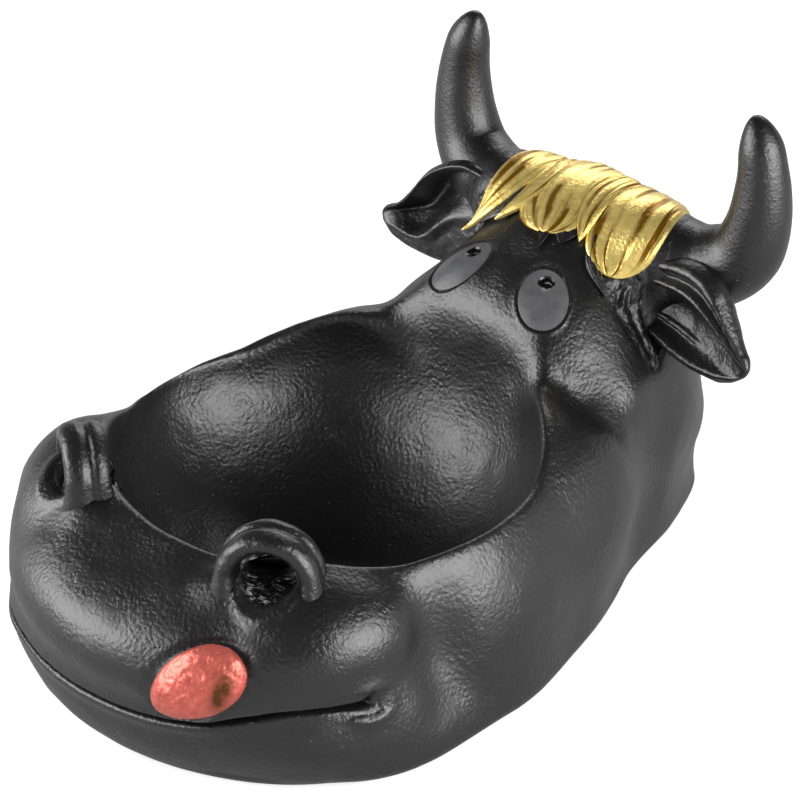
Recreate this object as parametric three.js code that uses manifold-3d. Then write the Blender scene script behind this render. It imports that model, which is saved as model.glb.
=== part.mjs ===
// A cow-head ashtray. The muzzle is scooped out as the ash bowl, and a strap loop on each nostril holds a
// cigarette. Horns, ears, loops, eyes, tongue and forelock are modelled apart and let into the cast head.
// Millimetres, +Z up. The muzzle points along -Y, x = 0 is the plane of symmetry, and the foot is at z = 0.
import * as THREE from 'three';
import { mergeVertices } from 'three/addons/utils/BufferGeometryUtils.js';
import Module from 'manifold-3d';

const wasm = await Module();
wasm.setup();

const vec = (x, y, z) => new THREE.Vector3(x, y, z);

// Clearance between a let-in piece and its pocket
const fitGap = 0.3;

// Head
const muzzleHalfWidth = 43;
const muzzleHalfLength = 32.5;
const muzzleHalfHeight = 18;
const muzzleMiddle = -48.5;
const muzzleHeight = 22;
const jawHalfWidth = 49.5;
const jawHalfLength = 36.5;
const cheekHalfWidth = 50;
const cheekHalfLength = 47;
const skullHalfWidth = 31;
const skullHalfLength = 34;
const skullHeight = 62;
const skullMiddle = 48;
const crownHeight = 68;
const footRounding = 3;

// Ash bowl
const bowlHalfWidth = 41.5;
const bowlHalfLength = 40.5;
const bowlMiddle = -16.5;
const bowlRimHeight = 40;
const bowlFloorHeight = 8;
const rimRounding = 4;
const foreheadRounding = 10;

// Mouth slit, rising from the middle to its corners
const slitDepth = 3.2;
const slitHeight = 1.6;
const mouthMiddleHeight = 14.6;
const mouthCornerHeight = 19.4;
const mouthCornerTurn = THREE.MathUtils.degToRad(98);

// Horns
const hornReach = 12.4;
const hornRise = 32.4;
const hornLean = 4.5;
const hornRootRadius = 8;
const hornMiddleRadius = 5.6;
const hornTipRadius = 2.6;
const hornPegRadius = 4;
const hornPegLength = 8;

// Ears
const earLength = 25.6;
const earDroop = 7.2;
const earHalfWidth = 9.7;
const earHalfThickness = 1.7;
const earCup = 5;
const earPegRadius = 3.2;
const earPegLength = 7;

// Cigarette loops on the nostrils
const loopSpread = 25.1;
const loopForward = 6.7;
const loopOpening = 11.6;
const loopHeight = 8.4;
const loopThickness = 4.2;
const loopWidth = 8.6;
const loopGrooveDepth = 0.8;
const loopGrooveWidth = 3.4;
const loopSink = 3;
const loopToeOut = THREE.MathUtils.degToRad(34);
const nostrilHalfWidth = 4.6;
const nostrilHalfLength = 9.5;
const nostrilDepth = 4;

// Eyes
const eyeHalfWidth = 4.9;
const eyeHalfHeight = 6.9;
const eyeHalfThickness = 1.5;
const pupilRadius = 1.8;
const pupilDepth = 0.6;

// Tongue
const tongueHalfWidth = 9.2;
const tongueHalfHeight = 6.6;
const tongueHalfThickness = 2.6;

// Forelock
const lockHalfThickness = 2.1;
const lockLift = 0.8;

const blackLacquer = new THREE.MeshStandardMaterial({ color: 0x1b1b1c, roughness: 0.42, metalness: 0 });
const eyeLacquer = new THREE.MeshStandardMaterial({ color: 0x38383a, roughness: 0.45, metalness: 0 });
const goldLacquer = new THREE.MeshStandardMaterial({ color: 0xc9a63a, roughness: 0.35, metalness: 0.9 });
const redLacquer = new THREE.MeshStandardMaterial({ color: 0xc2443f, roughness: 0.4, metalness: 0.6 });

// Shape of the head: ellipsoids of clay that melt into each other

// Blend is the width over which a mass melts into those before it. A standing one drops straight to the foot
// below its middle.
const mass = (centre, radii, blend, standing = false) => ({ centre, radii, blend, standing });
const massPair = (centre, radii, blend) => [
  mass(centre, radii, blend),
  mass(vec(-centre.x, centre.y, centre.z), radii, blend),
];

const crownHalfHeight = 13;
const crownMiddle = vec(0, skullMiddle + 12, crownHeight - crownHalfHeight);
const jawMiddle = vec(0, muzzleMiddle + 7.5, 10);
const skullCoreHeight = 20;
const headMasses = [
  // lower jaw
  mass(jawMiddle, vec(jawHalfWidth, jawHalfLength, 26), 3),
  // upper muzzle
  mass(vec(0, muzzleMiddle, muzzleHeight), vec(muzzleHalfWidth, muzzleHalfLength, muzzleHalfHeight), 3),
  // nostril humps
  ...massPair(vec(muzzleHalfWidth - 14.5, muzzleMiddle + 3, muzzleHeight + 4), vec(17, 19.5, 14), 6),
  // round wall of the bowl, with the cheeks
  mass(vec(0, bowlMiddle + 0.5, 16), vec(cheekHalfWidth, cheekHalfLength, 42), 4, true),
  // waist behind the bowl
  mass(vec(0, bowlMiddle + 28.5, 18), vec(cheekHalfWidth - 8, 34, 26), 12, true),
  // shoulders that carry the rim up to the forehead
  ...massPair(vec(skullHalfWidth - 5, bowlMiddle + 33.5, 25), vec(15, 21, 19), 10),
  // skull
  mass(
    vec(0, skullMiddle, skullCoreHeight),
    vec(skullHalfWidth, skullHalfLength, skullHeight - skullCoreHeight),
    10,
    true,
  ),
  // crown between the horns
  mass(crownMiddle, vec(skullHalfWidth - 6, 14, crownHalfHeight), 8),
  // bosses under the horns
  ...massPair(vec(skullHalfWidth - 12, crownMiddle.y - 0.5, crownMiddle.z + 3), vec(8, 8, 8), 6),
];
const headDents = [
  // hollow between the muzzle and each cheek
  ...massPair(vec(cheekHalfWidth + 2, muzzleMiddle + 15.5, 26), vec(6, 4, 12), 8),
  // dip between the nostrils
  mass(vec(0, muzzleMiddle - 25.5, 44), vec(10, 16, 9), 10),
];

function ellipsoidDistance(point, { centre, radii, standing }) {
  const dx = point.x - centre.x;
  const dy = point.y - centre.y;
  const dz = standing ? Math.max(0, point.z - centre.z) : point.z - centre.z;
  const near = Math.hypot(dx / radii.x, dy / radii.y, dz / radii.z);
  const slope = Math.hypot(dx / radii.x ** 2, dy / radii.y ** 2, dz / radii.z ** 2);
  return slope < 1e-9 ? -Math.min(radii.x, radii.y, radii.z) : (near * (near - 1)) / slope;
}

// Union and cut with a rounded seam, by the polynomial smooth minimum
function meld(a, b, width) {
  const share = Math.max(width - Math.abs(a - b), 0) / width;
  return Math.min(a, b) - (share * share * width) / 4;
}
const carve = (a, b, width) => -meld(-a, b, width);

const bowl = mass(
  vec(0, bowlMiddle, bowlRimHeight),
  vec(bowlHalfWidth, bowlHalfLength, bowlRimHeight - bowlFloorHeight),
  0,
);

// Below zero inside the head, and about the distance to its skin near it
function headField(point) {
  let distance = ellipsoidDistance(point, headMasses[0]);
  for (const each of headMasses.slice(1)) {
    distance = meld(distance, ellipsoidDistance(point, each), each.blend);
  }
  for (const each of headDents) distance = carve(distance, ellipsoidDistance(point, each), each.blend);
  const { lerp, smoothstep } = THREE.MathUtils;
  const onForehead = smoothstep(point.y, 8, 24) * (1 - smoothstep(Math.abs(point.x), 12, 28));
  const seam = lerp(rimRounding, foreheadRounding, onForehead);
  distance = carve(distance, ellipsoidDistance(point, bowl), seam);
  return carve(distance, point.z, footRounding);
}

function fieldSlope(field, point) {
  const step = 0.05;
  const along = (axis) => {
    const ahead = point.clone();
    const behind = point.clone();
    ahead[axis] += step;
    behind[axis] -= step;
    return (field(ahead) - field(behind)) / (2 * step);
  };
  return vec(along('x'), along('y'), along('z'));
}

// Moves a point towards the skin of a field, or towards a layer that lies a given height over the skin
function settle(point, field, height = 0) {
  const slope = fieldSlope(field, point);
  const move = (field(point) - height) / Math.max(slope.lengthSq(), 0.05);
  point.addScaledVector(slope, -THREE.MathUtils.clamp(move, -3, 3));
  return slope.normalize();
}

// The place where a line from inside the head comes out of its skin
function skinAlong(from, direction) {
  const at = (distance) => from.clone().addScaledVector(direction, distance);
  let outside = 1;
  while (headField(at(outside)) < 0) outside += 1;
  let inside = outside - 1;
  for (let i = 0; i < 16; i += 1) {
    const middle = (inside + outside) / 2;
    if (headField(at(middle)) < 0) inside = middle;
    else outside = middle;
  }
  return at(inside);
}

// Nets and solids

// A closed net of rings of points, one ring to a row, with each end closed by a point at the ring's middle
function netOf(rings) {
  const count = rings[0].length;
  const points = rings.flat();
  const index = [];
  for (let row = 0; row + 1 < rings.length; row += 1) {
    for (let i = 0; i < count; i += 1) {
      const [a, b] = [row * count + i, row * count + ((i + 1) % count)];
      index.push(a, b, a + count, b, b + count, a + count);
    }
  }
  for (const [first, turned] of [[0, true], [(rings.length - 1) * count, false]]) {
    const middle = vec(0, 0, 0);
    for (let i = 0; i < count; i += 1) middle.add(points[first + i]);
    points.push(middle.divideScalar(count));
    for (let i = 0; i < count; i += 1) {
      const [a, b] = [first + i, first + ((i + 1) % count)];
      index.push(...(turned ? [b, a, points.length - 1] : [a, b, points.length - 1]));
    }
  }
  const net = new THREE.BufferGeometry().setFromPoints(points);
  net.setIndex(index);
  return net;
}

// Lays a net on the skin of a field and evens its points out along it
function wrapOnto(net, field, rounds = 20) {
  const { position } = net.attributes;
  const index = net.index.array;
  const neighbours = Array.from({ length: position.count }, () => new Set());
  for (let i = 0; i < index.length; i += 3) {
    const corners = [index[i], index[i + 1], index[i + 2]];
    for (const from of corners) corners.filter((to) => to !== from).forEach((to) => neighbours[from].add(to));
  }
  const points = Array.from({ length: position.count }, (_, i) => (
    vec(0, 0, 0).fromBufferAttribute(position, i)
  ));
  for (let round = 0; round < rounds; round += 1) {
    const normals = points.map((point) => settle(point, field));
    const moves = points.map((point, i) => {
      const middle = vec(0, 0, 0);
      neighbours[i].forEach((j) => middle.add(points[j]));
      return middle.divideScalar(neighbours[i].size).sub(point).projectOnPlane(normals[i]);
    });
    points.forEach((point, i) => point.addScaledVector(moves[i], 0.5));
  }
  for (let last = 0; last < 4; last += 1) points.forEach((point) => settle(point, field));
  points.forEach((point, i) => position.setXYZ(i, point.x, point.y, Math.abs(point.z) < 0.02 ? 0 : point.z));
  return net;
}

// A copy of a net with every point moved out along its normal
function swell(net, distance) {
  const grown = net.clone();
  grown.computeVertexNormals();
  const { position, normal } = grown.attributes;
  for (let i = 0; i < position.count; i += 1) {
    position.setXYZ(
      i,
      position.getX(i) + normal.getX(i) * distance,
      position.getY(i) + normal.getY(i) * distance,
      position.getZ(i) + normal.getZ(i) * distance,
    );
  }
  return grown;
}

function solidOf(geometry) {
  const net = geometry.clone();
  net.deleteAttribute('normal');
  net.deleteAttribute('uv');
  const merged = mergeVertices(net, 1e-4);
  const vertProperties = new Float32Array(merged.attributes.position.array);
  const triVerts = new Uint32Array(merged.index.array);
  return new wasm.Manifold(new wasm.Mesh({ numProp: 3, vertProperties, triVerts }));
}

function geometryOf(solid) {
  const { vertProperties, triVerts, numProp } = solid.getMesh();
  const points = [];
  for (let i = 0; i < vertProperties.length; i += numProp) {
    points.push(vec(vertProperties[i], vertProperties[i + 1], vertProperties[i + 2]));
  }
  const geometry = new THREE.BufferGeometry().setFromPoints(points);
  geometry.setIndex(Array.from(triVerts));
  geometry.computeVertexNormals();
  return geometry;
}

// Turns a net's faces outwards if they point in, as in a mirrored copy
function facingOut(net) {
  const { position } = net.attributes;
  const index = net.index.array;
  const corner = (i) => vec(0, 0, 0).fromBufferAttribute(position, index[i]);
  let volume = 0;
  for (let i = 0; i < index.length; i += 3) volume += corner(i).cross(corner(i + 1)).dot(corner(i + 2));
  if (volume < 0) {
    for (let i = 0; i < index.length; i += 3) [index[i + 1], index[i + 2]] = [index[i + 2], index[i + 1]];
  }
  return net;
}

function mirror(net) {
  return facingOut(net.clone().applyMatrix4(new THREE.Matrix4().makeScale(-1, 1, 1)));
}

// Rings along a curve. The section gives, for a share of the way and an angle, the steps sideways and up.
function ringsAlong(curve, shares, up, columns, section) {
  return shares.map((share) => {
    const centre = curve.getPointAt(share);
    const tangent = curve.getTangentAt(share);
    const side = tangent.clone().cross(up).normalize();
    const lift = side.clone().cross(tangent).normalize();
    return Array.from({ length: columns }, (_, i) => {
      const [across, over] = section(share, (i / columns) * 2 * Math.PI);
      return centre.clone().addScaledVector(side, across).addScaledVector(lift, over);
    });
  });
}

// Shares from 0 to 1 that crowd towards the ends, for a rounded end
const roundedShares = (count) => (
  Array.from({ length: count }, (_, i) => 0.5 - 0.5 * Math.cos((Math.PI * (i + 0.5)) / count))
);

// A value that runs smoothly through given pairs of share and value
function profile(pairs) {
  const curve = new THREE.SplineCurve(pairs.map(([share, value]) => new THREE.Vector2(share, value)));
  const samples = curve.getPoints(200);
  return (share) => {
    const next = samples.findIndex((sample) => sample.x >= share);
    if (next <= 0) return samples[next === 0 ? 0 : samples.length - 1].y;
    const [from, to] = [samples[next - 1], samples[next]];
    return THREE.MathUtils.mapLinear(share, from.x, to.x, from.y, to.y);
  };
}

// A round peg from a point, along a direction
function pegNet(start, direction, radius, length) {
  const peg = new THREE.CylinderGeometry(radius, radius, length, 14);
  const turn = new THREE.Quaternion().setFromUnitVectors(vec(0, 1, 0), direction);
  peg.applyQuaternion(turn);
  const middle = start.clone().addScaledVector(direction, length / 2);
  return peg.translate(middle.x, middle.y, middle.z);
}

// A piece and the pocket that it needs: its own net, and a peg where it has one
function piece(net, peg) {
  const outward = facingOut(net);
  let body = solidOf(outward);
  let pocket = solidOf(swell(outward, fitGap));
  if (peg) {
    body = body.add(solidOf(peg(0)));
    pocket = pocket.add(solidOf(peg(fitGap)));
  }
  return { body, pocket };
}
const mirroredPiece = ({ body, pocket }) => ({
  body: solidOf(mirror(geometryOf(body))),
  pocket: solidOf(mirror(geometryOf(pocket))),
});

// Head net: rings from the middle of the foot up the outside, over the rim and down into the bowl. Each is an
// ellipse in plan, given by its middle along y, half width, half length, and height at the front and back.
const headRings = [
  [0, cheekHalfWidth - 26, cheekHalfLength, -1, -1],
  [0, cheekHalfWidth - 8, skullMiddle + 26, -1, -1],
  [0, cheekHalfWidth + 2, skullMiddle + skullHalfLength + 2, 3, 3],
  [0, cheekHalfWidth + 4, skullMiddle + skullHalfLength + 4, 18, 20],
  [0, cheekHalfWidth + 4, skullMiddle + skullHalfLength + 4, 30, 40],
  [-1, cheekHalfWidth, skullMiddle + skullHalfLength - 2, 42, 62],
  [-2, cheekHalfWidth - 6, skullMiddle + 18, 46, crownHeight + 8],
  [-8, bowlHalfWidth, skullMiddle + 6, 46, crownHeight - 2],
  [bowlMiddle, bowlHalfWidth - 2.5, bowlHalfLength + 2.5, bowlRimHeight + 4, bowlRimHeight + 12],
  [bowlMiddle, bowlHalfWidth - 5.5, bowlHalfLength - 2.5, bowlRimHeight - 6, bowlRimHeight],
  [bowlMiddle, bowlHalfWidth - 13.5, bowlHalfLength - 10.5, bowlFloorHeight + 16, bowlFloorHeight + 18],
  [bowlMiddle, bowlHalfWidth - 27.5, bowlHalfLength - 24.5, bowlFloorHeight + 8, bowlFloorHeight + 8],
];
const headColumns = 56;
const headRows = 36;

function headNet() {
  const values = [0, 1, 2, 3, 4].map((item) => profile(
    headRings.map((ring, i) => [i / (headRings.length - 1), ring[item]]),
  ));
  const rings = Array.from({ length: headRows }, (_, row) => {
    const [middle, halfWidth, halfLength, front, back] = values.map((value) => value(row / (headRows - 1)));
    return Array.from({ length: headColumns }, (__, column) => {
      const turn = (column / headColumns) * 2 * Math.PI;
      const rearward = (1 + Math.sin(turn)) / 2;
      const height = THREE.MathUtils.lerp(front, back, rearward ** 2);
      return vec(halfWidth * Math.cos(turn), middle + halfLength * Math.sin(turn), height);
    });
  });
  return facingOut(wrapOnto(netOf(rings), headField));
}

// Mouth slit: a thin blade that follows the skin from corner to corner
function mouthSlit() {
  const path = [];
  for (let step = -8; step <= 8; step += 1) {
    const share = step / 8;
    const turn = share * mouthCornerTurn;
    const height = THREE.MathUtils.lerp(mouthMiddleHeight, mouthCornerHeight, share * share);
    path.push(skinAlong(vec(0, muzzleMiddle - 7.5, height), vec(Math.sin(turn), -Math.cos(turn), 0)));
  }
  const taper = (share) => Math.sqrt(Math.max(0, 1 - Math.abs(2 * share - 1) ** 8));
  const section = (share, angle) => [
    slitDepth * Math.cos(angle) * taper(share), (slitHeight / 2) * Math.sin(angle) * taper(share),
  ];
  const rings = ringsAlong(new THREE.CatmullRomCurve3(path), roundedShares(32), vec(0, 0, 1), 6, section);
  return solidOf(facingOut(netOf(rings)));
}

// Right horn, from its root in the crown to its blunt tip. Each step of its path is a share of its reach, its
// lean backwards and its rise.
const hornRoot = skinAlong(vec(0, crownMiddle.y, crownMiddle.z + 5), vec(1, 0, 0));
const hornSteps = [
  [0.08, 0.35, 0.07], [0.61, 0.7, 0.2], [0.95, 0.9, 0.38], [1, 0.93, 0.59], [0.9, 0.95, 0.8], [0.79, 1, 1],
];
const hornPath = new THREE.CatmullRomCurve3([
  hornRoot.clone().add(vec(-7, -1, 1)),
  ...hornSteps.map(([out, back, up]) => (
    hornRoot.clone().add(vec(out * hornReach, back * hornLean, up * hornRise))
  )),
]);
const hornRadius = profile([
  [0, hornRootRadius], [0.18, hornRootRadius - 0.7], [0.4, hornMiddleRadius + 0.5], [0.6, hornMiddleRadius],
  [0.8, (hornMiddleRadius + hornTipRadius) / 2 + 0.4], [0.93, hornTipRadius + 0.7], [1, hornTipRadius],
]);

function horn() {
  const shares = [0, ...Array.from({ length: 12 }, (_, i) => 0.05 + 0.9 * (i / 11)), 0.975, 0.99, 1];
  const tipStart = 0.95;
  const section = (share, angle) => {
    const beyond = Math.max(0, (share - tipStart) / (1 - tipStart));
    const radius = hornRadius(share) * Math.sqrt(Math.max(0.02, 1 - beyond ** 2));
    return [radius * Math.cos(angle), radius * Math.sin(angle)];
  };
  const net = netOf(ringsAlong(hornPath, shares, vec(0, 1, 0), 16, section));
  const root = hornPath.getPointAt(0.02);
  const inward = vec(-1, 0, -0.3).normalize();
  return piece(net, (grow) => pegNet(root, inward, hornPegRadius + grow, hornPegLength + grow));
}

// Right ear, a cupped leaf that opens forwards. Each step of its path is a share of its length, its lean
// forwards and its droop.
const earRoot = skinAlong(vec(0, skullMiddle + 5, crownMiddle.z - 2), vec(1, 0, 0));
const earLean = 3;
const earSteps = [[0.23, 0.47, 0.06], [0.55, 0.8, 0.33], [0.82, 0.93, 0.72], [1, 1, 1]];
const earPath = new THREE.CatmullRomCurve3([
  earRoot.clone().add(vec(-1, 0, 0)),
  ...earSteps.map(([out, forward, down]) => (
    earRoot.clone().add(vec(out * earLength, -forward * earLean, -down * earDroop))
  )),
]);
const earWidthAt = profile([
  [0, 0.5], [0.2, 0.72], [0.5, 1], [0.7, 0.76], [0.88, 0.36], [0.97, 0.2], [1, 0.08],
]);
const earCupAt = profile([[0, 0.15], [0.25, 0.7], [0.5, 1], [0.8, 0.6], [1, 0]]);

function ear() {
  const shares = [0, ...Array.from({ length: 10 }, (_, i) => 0.05 + 0.88 * (i / 9)), 0.97, 0.99, 1];
  const section = (share, angle) => {
    const thickness = earHalfThickness * Math.min(1, Math.sqrt((1.02 - share) * 6));
    const back = thickness * Math.sin(angle) + earCup * earCupAt(share) * (Math.cos(angle) ** 2 - 0.5);
    return [back, earHalfWidth * earWidthAt(share) * Math.cos(angle)];
  };
  const net = netOf(ringsAlong(earPath, shares, vec(0, 0.15, 1), 18, section));
  const root = earPath.getPointAt(0.06);
  const inward = vec(-1, 0.2, 0).normalize();
  return piece(net, (grow) => pegNet(root, inward, earPegRadius + grow, earPegLength + grow));
}

// Right loop: a strap arch whose feet are let into the nostril hump, with a groove along its outer face
const loopFoot = skinAlong(vec(loopSpread, muzzleMiddle - loopForward, muzzleHeight), vec(0, 0, 1));

function loop() {
  const across = vec(Math.cos(loopToeOut), Math.sin(loopToeOut), 0);
  const reach = (loopOpening + loopThickness) / 2;
  const arch = [];
  for (let i = 0; i <= 12; i += 1) {
    const turn = Math.PI * (i / 12);
    const rise = vec(0, 0, loopHeight * Math.sin(turn));
    arch.push(loopFoot.clone().addScaledVector(across, -reach * Math.cos(turn)).add(rise));
  }
  const sunk = (point) => point.clone().add(vec(0, 0, -loopSink));
  const curve = new THREE.CatmullRomCurve3([sunk(arch[0]), ...arch, sunk(arch[12])]);
  const axis = vec(Math.sin(loopToeOut), -Math.cos(loopToeOut), 0);
  const section = (share, angle) => {
    const flare = 1 + 0.25 * Math.max(0, Math.abs(2 * share - 1) - 0.72) / 0.28;
    const along = Math.sign(Math.cos(angle)) * Math.abs(Math.cos(angle)) ** 0.8 * (loopWidth / 2) * flare;
    const groove = loopGrooveDepth * Math.exp(-((2 * along / loopGrooveWidth) ** 2));
    const outer = Math.sin(angle) < 0 ? 0 : groove;
    return [Math.sin(angle) * (loopThickness / 2) * flare - outer, along];
  };
  const shares = Array.from({ length: 17 }, (_, i) => i / 16);
  return piece(netOf(ringsAlong(curve, shares, axis, 14, section)));
}

// An oval pad that lies on the skin: its middle, its half sizes, and which way its height runs
function padNet(middle, upHint, halfWidth, halfHeight, halfThickness, columns, rows) {
  const out = fieldSlope(headField, middle).normalize();
  const side = upHint.clone().cross(out).normalize();
  const up = out.clone().cross(side);
  const rings = Array.from({ length: rows }, (_, row) => {
    const tilt = Math.PI * ((row + 0.35) / (rows - 0.3) - 0.5);
    return Array.from({ length: columns }, (__, i) => {
      const turn = (i / columns) * 2 * Math.PI;
      const ring = Math.cos(tilt) ** 0.7;
      return middle.clone()
        .addScaledVector(side, halfWidth * ring * Math.cos(turn))
        .addScaledVector(up, halfHeight * ring * Math.sin(turn))
        .addScaledVector(out, halfThickness * Math.sin(tilt));
    });
  });
  return { net: netOf(rings), out, side, up };
}

function eye() {
  const middle = skinAlong(vec(0, skullMiddle, skullCoreHeight + 10), vec(11, -14.8, 24.4).normalize());
  const tilt = vec(-0.51, 0.55, 0.67);
  const { net, out, up, side } = padNet(middle, tilt, eyeHalfWidth, eyeHalfHeight, eyeHalfThickness, 20, 5);
  const made = piece(net);
  const pupilPlace = middle.clone()
    .addScaledVector(up, eyeHalfHeight * 0.48)
    .addScaledVector(side, eyeHalfWidth * 0.12)
    .addScaledVector(out, eyeHalfThickness - pupilDepth - 0.3);
  const recess = pegNet(pupilPlace, out, pupilRadius, 4);
  made.body = made.body.subtract(solidOf(recess));
  return made;
}

function tongue() {
  const middle = skinAlong(vec(0, muzzleMiddle - 12, muzzleHeight), vec(25.8, -13.5, 2.2).normalize());
  const tilt = vec(-0.4, 0, 1);
  return piece(padNet(middle, tilt, tongueHalfWidth, tongueHalfHeight, tongueHalfThickness, 20, 7).net);
}

// Forelock: flat locks that run from behind the crown down over the forehead. Each has its root, its bend and
// its tip in plan, from the middle of the crown, and its half width.
const locks = {
  forelock_middle: { root: [0, 6], bend: [-1.5, -4], tip: [0, -14.5], halfWidth: 8.5 },
  forelock_right: { root: [14, 6], bend: [15, -4], tip: [16, -13.5], halfWidth: 8.5 },
  forelock_left: { root: [-13, 6], bend: [-15.5, -4], tip: [-18.5, -13.5], halfWidth: 7 },
  forelock_left_tip: { root: [-7, 6], bend: [-9.5, -6], tip: [-13, -16.5], halfWidth: 4.5 },
  forelock_small: { root: [8, 6], bend: [8, -6], tip: [8.5, -15.5], halfWidth: 4.5 },
};

function lock({ root, bend, tip, halfWidth }) {
  const planPoints = [root, bend, tip].map(([x, y]) => new THREE.Vector2(x, crownMiddle.y + y));
  const plan = new THREE.SplineCurve(planPoints);
  const samples = plan.getPoints(8).map(({ x, y }) => skinAlong(vec(x, y, skullCoreHeight), vec(0, 0, 1)));
  samples.forEach((point) => settle(point, headField, lockLift));
  const curve = new THREE.CatmullRomCurve3(samples);
  const widthAt = profile([[0, 0.4], [0.12, 0.8], [0.45, 1], [0.75, 0.85], [0.92, 0.5], [1, 0.1]]);
  const shares = roundedShares(9);
  const rings = shares.map((share) => {
    const centre = curve.getPointAt(share);
    const tangent = curve.getTangentAt(share);
    const out = fieldSlope(headField, centre).normalize();
    const side = tangent.clone().cross(out).normalize();
    const lift = side.clone().cross(tangent).normalize();
    return Array.from({ length: 12 }, (_, i) => {
      const angle = (i / 12) * 2 * Math.PI;
      const across = halfWidth * widthAt(share) * Math.cos(angle);
      const thin = Math.min(1, Math.sqrt(share * 8), Math.sqrt((1 - share) * 5));
      const over = lockHalfThickness * thin * Math.sin(angle) - (across / 16) ** 2 * 2;
      return centre.clone().addScaledVector(side, across).addScaledVector(lift, over);
    });
  });
  return piece(netOf(rings));
}

// Assembly: each let-in piece is cut clear of those placed before it, and the head gets a pocket for each
const ashtray = new THREE.Group();
const placed = [];

function largest(solid) {
  return solid.decompose().reduce((best, each) => (each.volume() > best.volume() ? each : best));
}

function add(name, body, material) {
  const mesh = new THREE.Mesh(geometryOf(body), material);
  mesh.name = name;
  ashtray.add(mesh);
}

function letIn(name, { body, pocket }, material) {
  const clear = placed.reduce((left, other) => left.subtract(other), body);
  add(name, largest(clear), material);
  placed.push(pocket);
}

for (const [name, make, material] of [
  ['horn', horn, blackLacquer], ['ear', ear, blackLacquer],
  ['cigarette_loop', loop, blackLacquer], ['eye', eye, eyeLacquer],
]) {
  const right = make();
  letIn(`right_${name}`, right, material);
  letIn(`left_${name}`, mirroredPiece(right), material);
}
letIn('tongue', tongue(), redLacquer);
for (const [name, each] of Object.entries(locks)) letIn(name, lock(each), goldLacquer);

let head = solidOf(headNet()).subtract(mouthSlit());
// Under each loop a shallow trough runs over the rim, for the cigarette to lie in
for (const side of [1, -1]) {
  const trough = new THREE.SphereGeometry(1, 16, 10);
  trough.scale(nostrilHalfWidth, nostrilHalfLength, nostrilDepth);
  trough.rotateZ(side * loopToeOut);
  trough.translate(side * loopFoot.x, loopFoot.y, loopFoot.z + 0.5);
  head = head.subtract(solidOf(trough));
}
head = largest(placed.reduce((left, pocket) => left.subtract(pocket), head));
add('head', head, blackLacquer);

export default ashtray;
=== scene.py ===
"""A lacquered cow-head ashtray: a cast head with a bowl in its muzzle, satin black with a gilt forelock and a
coral red tongue. Shapes are worked out in millimetres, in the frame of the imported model."""

import math
from collections import namedtuple

import bmesh
import bpy
import numpy as np
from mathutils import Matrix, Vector, noise


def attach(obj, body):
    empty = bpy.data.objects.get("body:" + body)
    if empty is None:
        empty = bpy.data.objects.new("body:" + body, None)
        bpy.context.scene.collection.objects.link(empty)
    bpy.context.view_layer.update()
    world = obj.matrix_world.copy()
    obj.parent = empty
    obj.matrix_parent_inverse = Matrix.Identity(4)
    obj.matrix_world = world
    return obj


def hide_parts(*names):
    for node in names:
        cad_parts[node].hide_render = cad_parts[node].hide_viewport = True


MM = 0.001
FULL_TURN = 2 * math.pi

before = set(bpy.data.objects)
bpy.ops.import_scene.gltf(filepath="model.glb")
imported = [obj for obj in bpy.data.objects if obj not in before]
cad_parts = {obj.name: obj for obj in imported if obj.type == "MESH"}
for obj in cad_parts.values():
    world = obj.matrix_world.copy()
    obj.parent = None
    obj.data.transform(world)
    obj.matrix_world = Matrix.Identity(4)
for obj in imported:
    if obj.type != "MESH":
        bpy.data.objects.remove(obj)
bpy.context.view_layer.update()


# Sizes in millimetres

MUZZLE_HALF = np.array((42.4, 31.4, 17.7))
MUZZLE_Y = -48.5
MUZZLE_Z = 22.0
JAW_HALF = np.array((48.8, 36.5, 26.0))
CHEEK_HALF_WIDTH = 50.0
CHEEK_HALF_LENGTH = 47.0
SKULL_HALF_WIDTH = 31.0
SKULL_HALF_LENGTH = 33.7
SKULL_TOP = 62.0
SKULL_Y = 48.0
SKULL_CORE_Z = 20.0
CROWN_TOP = 68.0
CROWN_HALF_HEIGHT = 13.0
CROWN_Y = SKULL_Y + 12
CROWN_Z = CROWN_TOP - CROWN_HALF_HEIGHT
FOOT_ROUNDING = 3.0

BOWL_HALF_WIDTH = 41.5
BOWL_HALF_LENGTH = 40.5
BOWL_Y = -16.5
RIM_Z = 40.0
BOWL_FLOOR_Z = 8.0
RIM_ROUNDING = 2.8
FOREHEAD_ROUNDING = 10.0
FOREHEAD_Y = (8, 24)
FOREHEAD_X = (12, 28)

# The mouth line: turns round the muzzle in degrees, from the left corner to the right one, and its heights
MOUTH_RISE = [
    (-98, 14), (-80, 12), (-60, 11.8), (-35, 12.1), (-8, 12.5), (22, 13.2), (41, 13.8), (57, 15), (70, 17.2),
    (79, 18.6), (90, 18.8), (98, 18.2),
]

LOOP_X = 25.1
LOOP_FORWARD = 6.7
LOOP_OPENING = 11.6
LOOP_HEIGHT = 8.4
LOOP_THICKNESS = 4.2
LOOP_WIDTH = 8.6
LOOP_TOE_OUT = math.radians(34)
TROUGH_HALF = np.array((5.0, 7.4, 4.4))
TROUGH_BACK = 1.0
TROUGH_LIFT = 0.5
TROUGH_ROUNDING = 1.6


# The clay that the head is shaped from: ellipsoids that melt into each other

Mass = namedtuple("Mass", "centre radii blend standing")


def mass(centre, radii, blend, standing=False):
    """Blend is the width over which a mass melts into the rest. A standing one drops straight to the foot."""
    return Mass(np.array(centre, float), np.array(radii, float), blend, standing)


def mass_pair(centre, radii, blend):
    x, y, z = centre
    return [mass((x, y, z), radii, blend), mass((-x, y, z), radii, blend)]


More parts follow.
